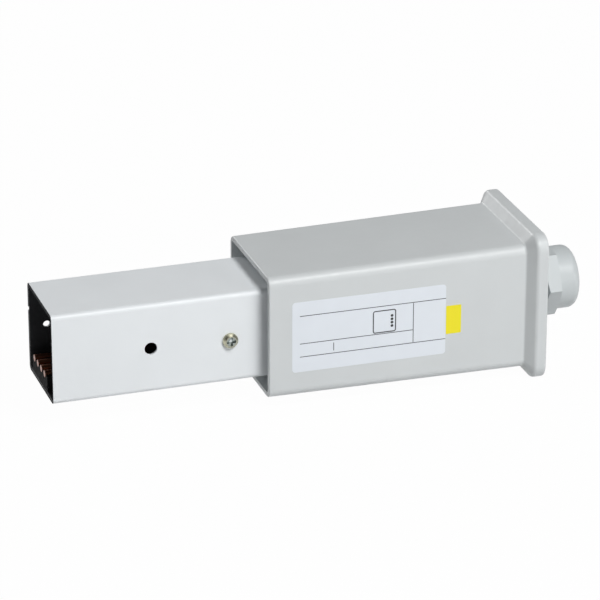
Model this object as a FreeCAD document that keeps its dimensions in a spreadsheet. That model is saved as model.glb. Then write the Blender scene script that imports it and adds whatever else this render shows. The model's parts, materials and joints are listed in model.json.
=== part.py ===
import FreeCAD, Part
import math
import os
import Sketcher
from FreeCAD import Placement, Rotation, Vector

# Busway end feed unit: a square trunking stub with four conductors, a moulded cover box and a cable gland.
# Frame: origin at the centre of the tube's open end, +X along the run to the gland, +Z up, millimetres.

doc = FreeCAD.newDocument("busway_end_feed_unit")

CONDUCTORS = 4
TERMINALS = CONDUCTORS + 1

SIZES = {
    # Square steel trunking
    "tube_width": 46.0,
    "tube_sheet": 1.0,
    "tube_bend": 2.5,
    "tube_length": 138.0,
    "joint_hole_place": 48.7,
    "joint_hole_dia": 6.3,
    "back_hole_place": 8.7,
    "back_hole_dia": 3.3,
    "notch_place": 9.1,
    "notch_height": 2.0,
    "notch_depth": 0.6,
    # Clearances: parts that sit in each other, parts that move on each other
    "fit_gap": 0.1,
    "running_gap": 0.05,
    "slide_gap": 0.2,
    "screw_gap": 0.1,
    # Insulation and conductors
    "liner_wall": 1.0,
    "liner_inset": 0.2,
    "liner_end_gap": 6.2,
    "liner_hole_margin": 0.3,
    "bar_dia": 3.4,
    "bar_lift": 8.6,
    "bar_bend": 6.0,
    "carrier_side": 2.6,
    "support_set": 3.0,
    "support_length": 8.0,
    "support_cap": 2.4,
    # Moulded cover
    "cover_overlap": 32.5,
    "cover_length": 131.9,
    "cover_wall": 2.5,
    "cover_draft": 1.1,
    "cover_edge": 4.6,
    "skirt_gap": 6.0,
    "skirt_depth": 6.0,
    "skirt_lip": 0.6,
    "collar_wall": 2.5,
    "collar_gap": 0.4,
    "flare_length": 4.1,
    "flare_rise": 5.5,
    "flare_root": 1.2,
    "rim_length": 5.8,
    "rim_edge": 7.8,
    "rim_wall": 2.5,
    "rim_shoulder": 2.2,
    "rim_lip": 1.0,
    "seat_depth": 4.9,
    "boss_length": 8.0,
    "boss_inset": 2.9,
    "boss_web": 2.2,
    "mouth_boss_length": 14.0,
    # Plate round the tube that the cover is screwed to
    "flange_sheet": 1.5,
    "flange_margin": 0.7,
    "seal_wall": 1.7,
    # Channel and terminals
    "bracket_sheet": 1.5,
    "bracket_overlap": 20.0,
    "bracket_gap": 0.3,
    "bracket_rise": 7.8,
    "bracket_bevel": 4.5,
    "bracket_screw_set": 4.8,
    "bracket_screw_drop": 8.0,
    "terminal_set": 22.0,
    "terminal_wire": 4.6,
    "clamp_wall": 0.9,
    "clamp_side": 0.5,
    "clamp_height": 7.2,
    "clamp_play": 0.3,
    "clamp_travel": 4.0,
    "clamp_bottom": -2.8,
    "housing_wall": 1.1,
    "housing_floor": 2.0,
    "housing_rise": 0.8,
    "housing_ledge": 1.2,
    "housing_nose": 0.6,
    "housing_ear": 0.9,
    "earth_foot_width": 9.0,
    "earth_foot_length": 12.0,
    "earth_foot_thick": 2.0,
    # Lid of the wiring space
    "plate_thick": 3.5,
    "plate_gap": 0.3,
    "plate_panel_margin": 7.0,
    "plate_panel_depth": 0.6,
    "plate_pad_margin": 1.0,
    "gasket_thick": 1.0,
    "gasket_margin": 0.5,
    "spigot_depth": 5.0,
    "spigot_wall": 2.0,
    "spigot_gap": 0.4,
    # Cable gland
    "gland_flats": 32.0,
    "gland_thread_dia": 24.8,
    "gland_thread_tail": 4.0,
    "gland_washer_thick": 1.0,
    "gland_hex_length": 5.6,
    "gland_hex_bevel": 0.5,
    "gland_cap_thread_dia": 27.0,
    "gland_cap_thread_length": 10.8,
    "gland_bore_dia": 21.6,
    "gland_bore_chamfer": 1.0,
    "locknut_flats": 32.0,
    "locknut_thick": 5.0,
    "cap_opening": 2.7,
    "cap_hex_length": 7.2,
    "cap_round_dia": 31.8,
    "cap_round_length": 11.0,
    "cap_end_round": 4.0,
    "cap_mouth_dia": 18.8,
    "cap_end_wall": 4.0,
    "insert_bore_dia": 17.0,
    "insert_depth": 12.0,
    "insert_head_dia": 25.0,
    "insert_head_length": 3.2,
    # Screws: shank diameter, head diameter, head height
    "m3_dia": 3.0,
    "m3_head_dia": 5.6,
    "m3_head": 2.1,
    "m4_dia": 4.0,
    "m4_head_dia": 7.6,
    "m4_head": 2.4,
    "m4_nut_flats": 7.0,
    "m4_nut": 3.2,
    "m3_reach": 7.0,
    "tube_screw_set": 17.1,
    "tube_screw_drop": 1.0,
    "tube_screw_reach": 6.0,
    "terminal_screw_head_dia": 5.0,
    "terminal_screw_head": 2.3,
}

# Places that follow from the sizes, each worked out from the ones above it
PLACES = {
    "tube_half": "sizes.tube_width / 2",
    "tube_inner": "places.tube_half - sizes.tube_sheet",
    "tube_inner_bend": "sizes.tube_bend - sizes.tube_sheet",
    "liner_outer": "places.tube_inner - sizes.fit_gap",
    "liner_inner": "places.liner_outer - sizes.liner_wall",
    "bracket_left": "sizes.tube_length - sizes.bracket_overlap",
    "liner_right": "places.bracket_left - sizes.liner_end_gap",
    "liner_length": "places.liner_right - sizes.liner_inset",
    "terminal_x": "sizes.tube_length + sizes.terminal_set",
    "bar_radius": "sizes.bar_dia / 2",
    "bar_hole": "places.bar_radius + sizes.fit_gap",
    "bar_z": "sizes.bar_lift - places.tube_inner",
    "clamp_inner": "places.bar_radius + sizes.clamp_play",
    "clamp_outer": "places.clamp_inner + sizes.clamp_side",
    "well_half": "places.clamp_outer + sizes.slide_gap",
    "bar_pitch": "2 * places.well_half + sizes.housing_wall",
    "first_terminal": f"-places.bar_pitch * {TERMINALS - 1} / 2",
    "first_bar": "places.first_terminal + places.bar_pitch",
    "last_bar": "-places.first_terminal",
    "cover_left": "sizes.tube_length - sizes.cover_overlap",
    "tube_screw_x": "places.cover_left - sizes.tube_screw_set",
    "cover_half_left": "places.tube_half + sizes.skirt_gap + sizes.cover_wall",
    "cover_half_right": "places.cover_half_left + sizes.cover_draft",
    "flare_start": "places.cover_left + sizes.cover_length",
    "rim_left": "places.flare_start + sizes.flare_length",
    "rim_right": "places.rim_left + sizes.rim_length",
    "rim_half": "places.cover_half_right + sizes.flare_rise",
    "rim_inner": "places.rim_half - sizes.rim_wall",
    "rim_inner_edge": "sizes.rim_edge - sizes.rim_wall",
    "seat": "places.rim_right - sizes.seat_depth",
    "collar_left": "places.cover_left + sizes.skirt_depth",
    "collar_right": "places.collar_left + sizes.collar_wall",
    "collar_hole": "places.tube_half + sizes.collar_gap",
    "collar_hole_edge": "sizes.tube_bend + sizes.collar_gap",
    "draft_rate": "sizes.cover_draft / sizes.cover_length",
    "inner_edge": "sizes.cover_edge - sizes.cover_wall",
    "skirt_half": "places.cover_half_left - sizes.cover_wall",
    "inner_half_left": "places.skirt_half + places.draft_rate * (places.collar_right - places.cover_left)",
    "mouth_half": "places.skirt_half + places.draft_rate * (places.seat - places.cover_left)",
    "boss_place": "places.inner_half_left - sizes.boss_inset",
    "boss_low": "places.boss_place - sizes.boss_web",
    "boss_sink": "sizes.cover_wall / 4",
    "boss_floor": "sizes.collar_wall / 4",
    "flange_left": "places.collar_right + sizes.boss_length",
    "flange_right": "places.flange_left + sizes.flange_sheet",
    "flange_half": "places.inner_half_left - sizes.flange_margin",
    "flange_hole": "places.tube_half + sizes.fit_gap / 2",
    "flange_hole_edge": "sizes.tube_bend + sizes.fit_gap / 2",
    "seal_outer": "places.flange_hole + sizes.seal_wall",
    "seal_outer_edge": "places.flange_hole_edge + sizes.seal_wall",
    "bracket_outer": "places.tube_inner - sizes.bracket_gap",
    "bracket_inner": "places.bracket_outer - sizes.bracket_sheet",
    "bracket_screw_x": "sizes.tube_length - sizes.bracket_screw_set",
    "bracket_screw_z": "-sizes.bracket_screw_drop",
    "support_left": "places.bracket_left + sizes.support_set",
    "support_half": "places.bracket_inner - sizes.fit_gap",
    "support_top": "places.bar_z + places.bar_radius + sizes.support_cap",
    "clamp_window_left": "places.terminal_x - places.bar_radius - sizes.terminal_wire",
    "clamp_window_right": "places.terminal_x + places.bar_radius + sizes.clamp_play",
    "clamp_left": "places.clamp_window_left - sizes.clamp_wall",
    "clamp_right": "places.clamp_window_right + sizes.clamp_wall",
    "clamp_top": "sizes.clamp_bottom + sizes.clamp_height",
    "terminal_z": "sizes.clamp_bottom + sizes.clamp_height / 2",
    "well_left": "places.clamp_left - sizes.slide_gap",
    "well_right": "places.clamp_right + sizes.clamp_travel + sizes.slide_gap",
    "well_floor": "sizes.clamp_bottom - sizes.slide_gap",
    "housing_left": "places.well_left - sizes.housing_wall",
    "head_seat": "places.well_right + sizes.housing_ledge",
    "housing_right": "places.head_seat + sizes.terminal_screw_head + sizes.housing_nose",
    "housing_bottom": "places.well_floor - sizes.housing_floor",
    "housing_top": "places.clamp_top + sizes.housing_rise",
    "housing_half": "places.bracket_inner - sizes.fit_gap",
    "ear_floor": "places.last_bar + places.well_half + sizes.housing_ear",
    "housing_screw_reach": "places.bracket_outer - places.ear_floor - sizes.screw_gap",
    "bracket_right": "places.housing_right",
    "plate_half": "places.rim_inner - sizes.plate_gap",
    "plate_edge": "places.rim_inner_edge - sizes.plate_gap",
    "plate_left": "places.seat + sizes.gasket_thick",
    "plate_right": "places.plate_left + sizes.plate_thick",
    "panel_half": "places.plate_half - sizes.plate_panel_margin",
    "gasket_outer": "places.plate_half - sizes.gasket_margin",
    "gasket_outer_edge": "places.plate_edge - sizes.gasket_margin",
    "gasket_inner": "places.mouth_half + sizes.gasket_margin",
    "spigot_half": "places.mouth_half - sizes.spigot_gap",
    "spigot_left": "places.plate_left - sizes.spigot_depth",
    "mouth_boss_left": "places.seat - sizes.mouth_boss_length",
    "gland_thread": "sizes.gland_thread_dia / 2",
    "gland_hole": "places.gland_thread + sizes.fit_gap",
    "gland_bore": "sizes.gland_bore_dia / 2",
    "gland_cap_thread": "sizes.gland_cap_thread_dia / 2",
    "locknut_left": "places.plate_left - sizes.locknut_thick",
    "gland_left": "places.locknut_left - sizes.gland_thread_tail",
    "hex_left": "places.plate_right + sizes.gland_washer_thick",
    "hex_right": "places.hex_left + sizes.gland_hex_length",
    "cap_thread_right": "places.hex_right + sizes.gland_cap_thread_length",
    "cap_left": "places.hex_right + sizes.cap_opening",
    "cap_hex_right": "places.cap_left + sizes.cap_hex_length",
    "cap_right": "places.cap_hex_right + sizes.cap_round_length",
    "cap_round": "sizes.cap_round_dia / 2",
    "cap_bore": "places.gland_cap_thread + sizes.running_gap",
    "cap_shoulder": "places.cap_right - sizes.cap_end_wall",
    "insert_head_right": "places.cap_shoulder - sizes.slide_gap",
    "insert_head_left": "places.insert_head_right - sizes.insert_head_length",
    "insert_left": "places.cap_thread_right - sizes.insert_depth",
    "insert_outer": "places.gland_bore - sizes.slide_gap",
    "m3_hole": "sizes.m3_dia / 2 + sizes.screw_gap",
    "m4_hole": "sizes.m4_dia / 2 + sizes.screw_gap",
}


def fill_sheet(name, cells):
    """A spreadsheet with one named cell to a row."""
    sheet = doc.addObject("Spreadsheet::Sheet", name)
    for row, (alias, content) in enumerate(cells.items(), start=1):
        sheet.set(f"A{row}", alias)
        sheet.set(f"B{row}", content)
        sheet.setAlias(f"B{row}", alias)
    doc.recompute()
    return sheet


sizes = fill_sheet("sizes", {alias: str(size) for alias, size in SIZES.items()})
places = fill_sheet("places", {alias: "=" + formula for alias, formula in PLACES.items()})


def number(expression):
    """The value that an expression over the two sheets has now."""
    result = places.evalExpression(expression)
    return float(getattr(result, "Value", result))


QUARTER_TURN = math.radians(90)


# Sketches

def new_body(name):
    body = doc.addObject("PartDesign::Body", name)
    body.Label = name
    return body


def new_sketch(body, name, plane, offset="0"):
    """A sketch on one of the body's own origin planes, moved along the plane's normal."""
    sketch = body.newObject("Sketcher::SketchObject", f"{body.Name}_{name}")
    support = next(feature for feature in body.Origin.OriginFeatures if feature.Role == plane)
    sketch.AttachmentSupport = (support, [""])
    sketch.MapMode = "FlatFace"
    sketch.setExpression("AttachmentOffset.Base.z", offset)
    return sketch


def pin_point(sketch, geometry, position, across, up):
    """Hold a point at a place given by two expressions."""
    for kind, axis, expression in (("DistanceX", -2, across), ("DistanceY", -1, up)):
        if expression == "0":
            sketch.addConstraint(Sketcher.Constraint("PointOnObject", geometry, position, axis))
            continue
        held = Sketcher.Constraint(kind, -1, 1, geometry, position, number(expression))
        index = sketch.addConstraint(held)
        sketch.setExpression(f"Constraints[{index}]", expression)


def draw_polygon(sketch, corners):
    """A closed outline of straight lines through corners given as pairs of expressions."""
    points = [Vector(number(across), number(up), 0) for across, up in corners]
    first = sketch.GeometryCount
    count = len(points)
    for index, point in enumerate(points):
        sketch.addGeometry(Part.LineSegment(point, points[(index + 1) % count]))
    for index in range(count):
        following = first + (index + 1) % count
        sketch.addConstraint(Sketcher.Constraint("Coincident", first + index, 2, following, 1))
    for index, (across, up) in enumerate(corners):
        pin_point(sketch, first + index, 1, across, up)


def draw_rectangle(sketch, left, bottom, right, top):
    draw_polygon(sketch, [(left, bottom), (right, bottom), (right, top), (left, top)])


def draw_circle(sketch, across, up, radius):
    centre = Vector(number(across), number(up), 0)
    index = sketch.addGeometry(Part.Circle(centre, Vector(0, 0, 1), number(radius)))
    pin_point(sketch, index, 3, across, up)
    held = sketch.addConstraint(Sketcher.Constraint("Radius", index, number(radius)))
    sketch.setExpression(f"Constraints[{held}]", radius)


def draw_rounded_square(sketch, half, edge):
    """A square about the sketch's origin with rounded corners."""
    flat = f"({half} - {edge})"
    sides = [
        ((f"-{flat}", f"-({half})"), (flat, f"-({half})")),
        ((half, f"-{flat}"), (half, flat)),
        ((flat, half), (f"-{flat}", half)),
        ((f"-({half})", flat), (f"-({half})", f"-{flat}")),
    ]
    first = sketch.GeometryCount
    for start, end in sides:
        points = [Vector(number(across), number(up), 0) for across, up in (start, end)]
        sketch.addGeometry(Part.LineSegment(*points))
    for index, (start, end) in enumerate(sides):
        pin_point(sketch, first + index, 1, *start)
        pin_point(sketch, first + index, 2, *end)
    reach = number(flat)
    centres = [(1, -1), (1, 1), (-1, 1), (-1, -1)]
    for index, (across, up) in enumerate(centres):
        circle = Part.Circle(Vector(across * reach, up * reach, 0), Vector(0, 0, 1), number(edge))
        start_angle = (index - 1) * QUARTER_TURN
        arc = sketch.addGeometry(Part.ArcOfCircle(circle, start_angle, start_angle + QUARTER_TURN))
        following = first + (index + 1) % len(sides)
        sketch.addConstraint(Sketcher.Constraint("Coincident", arc, 1, first + index, 2))
        sketch.addConstraint(Sketcher.Constraint("Coincident", arc, 2, following, 1))
        held = sketch.addConstraint(Sketcher.Constraint("Radius", arc, number(edge)))
        sketch.setExpression(f"Constraints[{held}]", edge)


def draw_hexagon(sketch, flats):
    """A hexagon about the sketch's origin with two of its flats level."""
    corner = f"{flats} / sqrt(3)"
    half_side = f"{flats} / (2 * sqrt(3))"
    half_flats = f"{flats} / 2"
    draw_polygon(sketch, [
        (corner, "0"), (half_side, half_flats), (f"-{half_side}", half_flats),
        (f"-{corner}", "0"), (f"-{half_side}", f"-{half_flats}"), (half_side, f"-{half_flats}"),
    ])


# Features

def pad(body, sketch, length):
    feature = body.newObject("PartDesign::Pad", f"{sketch.Name}_pad")
    feature.Profile = sketch
    feature.setExpression("Length", length)
    doc.recompute()
    return feature


def pocket(body, sketch, depth, along_normal=True):
    """Cut a sketch's outline into the body, and make sure that it took something away."""
    before = body.Shape.Volume
    feature = body.newObject("PartDesign::Pocket", f"{sketch.Name}_pocket")
    feature.Profile = sketch
    feature.Reversed = along_normal
    feature.setExpression("Length", depth)
    doc.recompute()
    if body.Shape.Volume >= before:
        raise ValueError(f"{feature.Name} cuts nothing")
    return feature


def pocket_through(body, sketch, sheet):
    """A cut from one thickness before a sheet to one thickness beyond it."""
    return pocket(body, sketch, f"{sheet} + 2 * {sheet}")


def revolve(body, sketch, axis="H_Axis"):
    feature = body.newObject("PartDesign::Revolution", f"{sketch.Name}_turn")
    feature.Profile = sketch
    feature.ReferenceAxis = (sketch, [axis])
    feature.Angle = 360
    doc.recompute()
    return feature


def groove(body, sketch):
    """Turn a sketch's outline out of the body, and make sure that it took something away."""
    before = body.Shape.Volume
    feature = body.newObject("PartDesign::Groove", f"{sketch.Name}_groove")
    feature.Profile = sketch
    feature.ReferenceAxis = (sketch, ["H_Axis"])
    feature.Angle = 360
    doc.recompute()
    if body.Shape.Volume >= before:
        raise ValueError(f"{feature.Name} cuts nothing")
    return feature


def loft(body, kind, sketches):
    feature = body.newObject(f"PartDesign::{kind}", f"{sketches[0].Name}_loft")
    feature.Profile = sketches[0]
    feature.Sections = [(sketch, [""]) for sketch in sketches[1:]]
    feature.Ruled = True
    doc.recompute()
    return feature


def dress(body, kind, size_name, size, chosen):
    """A fillet or chamfer on the edges of the body's shape so far that the test picks."""
    base = body.Tip
    names = [f"Edge{index}" for index, edge in enumerate(base.Shape.Edges, start=1) if chosen(edge)]
    feature = body.newObject(f"PartDesign::{kind}", f"{base.Name}_{kind.lower()}")
    feature.Base = (base, names)
    feature.setExpression(size_name, size)
    doc.recompute()
    return feature


def round_edges(body, radius, chosen):
    return dress(body, "Fillet", "Radius", radius, chosen)


def bevel_edges(body, size, chosen):
    return dress(body, "Chamfer", "Size", size, chosen)


def repeat_along(body, feature, axis, count, pitch):
    """Copies of a feature at a pitch along one of the body's origin axes."""
    pattern = body.newObject("PartDesign::LinearPattern", f"{feature.Name}_row")
    direction = next(item for item in body.Origin.OriginFeatures if item.Role == axis)
    pattern.Originals = [feature]
    pattern.Direction = (direction, [""])
    pattern.Mode = "Spacing"
    pattern.Occurrences = count
    pattern.setExpression("Offset", pitch)
    body.Tip = pattern
    doc.recompute()
    return pattern


def place(body, across="0", along="0", up="0", rotation=Rotation()):
    """Turn a body and set it at a place given by expressions."""
    body.Placement = Placement(Vector(), rotation)
    for axis, expression in (("x", across), ("y", along), ("z", up)):
        body.setExpression(f"Placement.Base.{axis}", expression)


def same(value, expression, tolerance=0.01):
    return abs(value - number(expression)) < tolerance


def lies_at(edge, axis, expression):
    """Whether an edge lies in the plane across an axis at a place."""
    low = getattr(edge.BoundBox, f"{axis}Min")
    high = getattr(edge.BoundBox, f"{axis}Max")
    return same(low, expression) and same(high, expression)


def runs_along(edge, axis):
    """Whether an edge is a straight line along an axis."""
    if not isinstance(edge.Curve, Part.Line):
        return False
    return abs(getattr(edge.tangentAt(edge.FirstParameter), axis)) > 0.999


# Fasteners

X_WARD = Rotation(Vector(0, 1, 0), 90)
FRONT_WARD = Rotation(Vector(1, 0, 0), 90)
BACK_WARD = Rotation(Vector(1, 0, 0), -90)

# Proportions of a screw's head: straight side, recess floor, crown, recess arm and slot
HEAD_SIDE = 0.5
RECESS_FLOOR = 0.4
HEAD_CROWN = 0.72
RECESS_ARM = 0.6
RECESS_SLOT = 0.17


def turned_screw(name, shank_dia, head_dia, head, reach):
    """A screw's blank: a bevelled head above its own XY plane, shank below."""
    body = new_body(name)
    profile = new_sketch(body, "profile", "XZ_Plane")
    draw_polygon(profile, [
        ("0", f"-({reach})"), (f"{shank_dia} / 2", f"-({reach})"), (f"{shank_dia} / 2", "0"),
        (f"{head_dia} / 2", "0"), (f"{head_dia} / 2", f"{head} * {HEAD_SIDE}"),
        (f"{head_dia} / 2 * {HEAD_CROWN}", head), ("0", head),
    ])
    revolve(body, profile, "V_Axis")
    return body


def pan_screw(name, shank_dia, head_dia, head, reach):
    """A pan head screw with a cross recess."""
    body = turned_screw(name, shank_dia, head_dia, head, reach)
    recess = new_sketch(body, "recess", "XY_Plane", f"{head} * {RECESS_FLOOR}")
    arm = f"{head_dia} / 2 * {RECESS_ARM}"
    slot = f"{head_dia} / 2 * {RECESS_SLOT}"
    draw_polygon(recess, [
        (arm, f"-{slot}"), (arm, slot), (slot, slot), (slot, arm), (f"-{slot}", arm), (f"-{slot}", slot),
        (f"-{arm}", slot), (f"-{arm}", f"-{slot}"), (f"-{slot}", f"-{slot}"), (f"-{slot}", f"-{arm}"),
        (slot, f"-{arm}"), (slot, f"-{slot}"),
    ])
    pocket(body, recess, head)
    return body


def slotted_screw(name, shank_dia, head_dia, head, reach):
    """A screw with one slot right across its head."""
    body = turned_screw(name, shank_dia, head_dia, head, reach)
    recess = new_sketch(body, "slot", "XY_Plane", f"{head} * {RECESS_FLOOR}")
    slot = f"{head_dia} / 2 * {RECESS_SLOT}"
    draw_rectangle(recess, f"-{head_dia}", f"-{slot}", head_dia, slot)
    pocket(body, recess, head)
    return body


def hexagon_nut(name, flats, thick, bore):
    """A hexagon nut above its own XY plane."""
    body = new_body(name)
    outline = new_sketch(body, "outline", "XY_Plane")
    draw_hexagon(outline, flats)
    draw_circle(outline, "0", "0", bore)
    pad(body, outline, thick)
    return body


def group(name, bodies):
    """Like fasteners kept together as one node of separate solids."""
    compound = doc.addObject("Part::Compound", name)
    compound.Label = name
    compound.Links = bodies
    return compound


# Trunking, insulation and conductors

def trunking_tube():
    body = new_body("trunking_tube")
    section = new_sketch(body, "section", "YZ_Plane")
    draw_rounded_square(section, "places.tube_half", "sizes.tube_bend")
    draw_rounded_square(section, "places.tube_inner", "places.tube_inner_bend")
    pad(body, section, "sizes.tube_length")
    front = new_sketch(body, "front_holes", "XZ_Plane", "places.tube_inner - sizes.tube_sheet")
    draw_circle(front, "sizes.joint_hole_place", "0", "sizes.joint_hole_dia / 2")
    draw_circle(front, "places.tube_screw_x", "-sizes.tube_screw_drop", "places.m4_hole")
    draw_circle(front, "places.bracket_screw_x", "places.bracket_screw_z", "places.m4_hole")
    pocket_through(body, front, "sizes.tube_sheet")
    back = new_sketch(body, "back_holes", "XZ_Plane", "-places.tube_half - sizes.tube_sheet")
    draw_circle(back, "sizes.back_hole_place", "0", "sizes.back_hole_dia / 2")
    draw_circle(back, "places.bracket_screw_x", "places.bracket_screw_z", "places.m4_hole")
    pocket_through(body, back, "sizes.tube_sheet")
    notch = new_sketch(body, "notch", "XZ_Plane", "-places.tube_half - sizes.tube_sheet")
    draw_rectangle(
        notch, "-sizes.notch_depth", "sizes.notch_place - sizes.notch_height / 2",
        "sizes.notch_depth", "sizes.notch_place + sizes.notch_height / 2")
    pocket_through(body, notch, "sizes.tube_sheet")
    return body


def tube_liner():
    body = new_body("tube_liner")
    section = new_sketch(body, "section", "YZ_Plane", "sizes.liner_inset")
    draw_rounded_square(section, "places.liner_outer", "places.tube_inner_bend")
    draw_rounded_square(section, "places.liner_inner", "sizes.liner_wall / 2")
    pad(body, section, "places.liner_length")
    front = new_sketch(body, "front_holes", "XZ_Plane", "places.liner_inner - sizes.liner_wall")
    draw_circle(front, "sizes.joint_hole_place", "0", "sizes.joint_hole_dia / 2 + sizes.liner_hole_margin")
    draw_circle(front, "places.tube_screw_x", "-sizes.tube_screw_drop", "sizes.m4_nut_flats")
    pocket_through(body, front, "sizes.liner_wall")
    back = new_sketch(body, "back_holes", "XZ_Plane", "-places.liner_outer - sizes.liner_wall")
    draw_circle(back, "sizes.back_hole_place", "0", "sizes.back_hole_dia / 2 + sizes.liner_hole_margin")
    pocket_through(body, back, "sizes.liner_wall")
    return body


def conductor_carrier():
    """A comb along the liner's floor, with a round-bottomed slot for each conductor."""
    body = new_body("conductor_carrier")
    section = new_sketch(body, "section", "YZ_Plane", "sizes.liner_inset")
    reach = "places.bar_hole + sizes.carrier_side"
    draw_rectangle(
        section, f"places.first_bar - ({reach})", "-places.liner_inner",
        f"places.last_bar + {reach}", "places.bar_z")
    pad(body, section, "places.liner_length")
    slot = new_sketch(body, "slot", "YZ_Plane")
    draw_circle(slot, "places.first_bar", "places.bar_z", "places.bar_hole")
    cut = pocket(body, slot, "places.liner_right + sizes.liner_wall")
    repeat_along(body, cut, "Y_Axis", CONDUCTORS, "places.bar_pitch")
    return body


def busbar(index):
    """A round conductor along the tube that bends up into its terminal."""
    body = new_body(f"busbar_{index + 1}")
    section = new_sketch(body, "section", "YZ_Plane")
    draw_circle(section, "0", "places.bar_z", "places.bar_radius")
    path = new_sketch(body, "path", "XZ_Plane")
    bend_x = number("places.terminal_x - sizes.bar_bend")
    bend_z = number("places.bar_z + sizes.bar_bend")
    floor_z = number("places.bar_z")
    riser_x = number("places.terminal_x")
    level = Part.LineSegment(Vector(0, floor_z, 0), Vector(bend_x, floor_z, 0))
    circle = Part.Circle(Vector(bend_x, bend_z, 0), Vector(0, 0, 1), number("sizes.bar_bend"))
    bend = Part.ArcOfCircle(circle, -QUARTER_TURN, 0)
    riser = Part.LineSegment(Vector(riser_x, bend_z, 0), Vector(riser_x, number("places.housing_top"), 0))
    for piece in (level, bend, riser):
        path.addGeometry(piece)
    path.addConstraint(Sketcher.Constraint("Tangent", 0, 2, 1, 1))
    path.addConstraint(Sketcher.Constraint("Tangent", 1, 2, 2, 1))
    pin_point(path, 0, 1, "0", "places.bar_z")
    pin_point(path, 0, 2, "places.terminal_x - sizes.bar_bend", "places.bar_z")
    pin_point(path, 2, 2, "places.terminal_x", "places.housing_top")
    doc.recompute()
    pipe = body.newObject("PartDesign::AdditivePipe", f"{body.Name}_pipe")
    pipe.Profile = section
    pipe.Spine = (path, ["Edge1", "Edge2", "Edge3"])
    doc.recompute()
    place(body, along=f"places.first_bar + {index} * places.bar_pitch")
    return body


def busbar_support():
    """A moulded block on the channel's floor that holds the conductors just before their bends."""
    body = new_body("busbar_support")
    section = new_sketch(body, "section", "YZ_Plane", "places.support_left")
    draw_rectangle(section, "-places.support_half", "-places.bracket_inner",
                   "places.support_half", "places.support_top")
    pad(body, section, "sizes.support_length")
    hole = new_sketch(body, "hole", "YZ_Plane", "places.support_left - sizes.support_length")
    draw_circle(hole, "places.first_bar", "places.bar_z", "places.bar_hole")
    cut = pocket_through(body, hole, "sizes.support_length")
    repeat_along(body, cut, "Y_Axis", CONDUCTORS, "places.bar_pitch")
    return body


# Cover

def cover():
    """A drafted box with a skirt and collar at the tube and a flared, rimmed mouth at the other end."""
    body = new_body("cover")
    left = new_sketch(body, "left", "YZ_Plane", "places.cover_left")
    draw_rounded_square(left, "places.cover_half_left", "sizes.cover_edge")
    right = new_sketch(body, "right", "YZ_Plane", "places.flare_start")
    draw_rounded_square(right, "places.cover_half_right", "sizes.cover_edge")
    loft(body, "AdditiveLoft", [left, right])
    root = new_sketch(body, "flare_root", "YZ_Plane", "places.flare_start")
    draw_rounded_square(root, "places.cover_half_right", "sizes.cover_edge")
    brow = new_sketch(body, "flare_brow", "YZ_Plane", "places.rim_left")
    draw_rounded_square(brow, "places.rim_half", "sizes.rim_edge")
    loft(body, "AdditiveLoft", [root, brow])
    rim = new_sketch(body, "rim", "YZ_Plane", "places.rim_left")
    draw_rounded_square(rim, "places.rim_half", "sizes.rim_edge")
    pad(body, rim, "sizes.rim_length")
    round_edges(body, "sizes.flare_root", lambda edge: lies_at(edge, "X", "places.flare_start"))
    round_edges(body, "sizes.rim_shoulder", lambda edge: lies_at(edge, "X", "places.rim_left"))
    round_edges(body, "sizes.rim_lip", lambda edge: lies_at(edge, "X", "places.rim_right"))
    round_edges(body, "sizes.skirt_lip", lambda edge: lies_at(edge, "X", "places.cover_left"))

    skirt = new_sketch(body, "skirt", "YZ_Plane", "places.cover_left")
    draw_rounded_square(skirt, "places.skirt_half", "places.inner_edge")
    pocket(body, skirt, "sizes.skirt_depth")
    collar = new_sketch(body, "collar", "YZ_Plane", "places.collar_left")
    draw_rounded_square(collar, "places.collar_hole", "places.collar_hole_edge")
    pocket(body, collar, "sizes.collar_wall * 2")
    inside_left = new_sketch(body, "inside_left", "YZ_Plane", "places.collar_right")
    draw_rounded_square(inside_left, "places.inner_half_left", "places.inner_edge")
    inside_right = new_sketch(body, "inside_right", "YZ_Plane", "places.seat")
    draw_rounded_square(inside_right, "places.mouth_half", "places.inner_edge")
    loft(body, "SubtractiveLoft", [inside_left, inside_right])
    mouth = new_sketch(body, "mouth", "YZ_Plane", "places.seat")
    draw_rounded_square(mouth, "places.rim_inner", "places.rim_inner_edge")
    pocket(body, mouth, "sizes.seat_depth * 2")

    bosses(body, "collar_boss", "places.collar_right", "sizes.boss_length", "places.inner_half_left", 1)
    bosses(body, "mouth_boss", "places.mouth_boss_left", "sizes.mouth_boss_length", "places.mouth_half", -1)
    return body


def bosses(body, name, start, length, wall, hand):
    """Two square columns with screw holes, in opposite corners of the cover."""
    columns = new_sketch(body, name, "YZ_Plane", start)
    outer = f"{wall} + places.boss_sink"
    for side in (1, -1):
        corners = [("places.boss_low", "places.boss_low"), (outer, "places.boss_low"),
                   (outer, outer), ("places.boss_low", outer)]
        draw_polygon(columns, [
            (f"{side} * ({across})", f"{side * hand} * ({up})") for across, up in corners])
    pad(body, columns, length)
    holes = new_sketch(body, f"{name}_hole", "YZ_Plane", f"{start} + places.boss_floor")
    for side in (1, -1):
        draw_circle(holes, f"{side} * places.boss_place", f"{side * hand} * places.boss_place",
                    "places.m3_hole")
    pocket(body, holes, length)


def tube_flange():
    """The plate welded round the tube, screwed to the cover's inner bosses."""
    body = new_body("tube_flange")
    outline = new_sketch(body, "outline", "YZ_Plane", "places.flange_left")
    draw_rounded_square(outline, "places.flange_half", "places.inner_edge")
    draw_rounded_square(outline, "places.flange_hole", "places.flange_hole_edge")
    for side in (1, -1):
        draw_circle(outline, f"{side} * places.boss_place", f"{side} * places.boss_place", "places.m3_hole")
    pad(body, outline, "sizes.flange_sheet")
    return body


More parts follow.
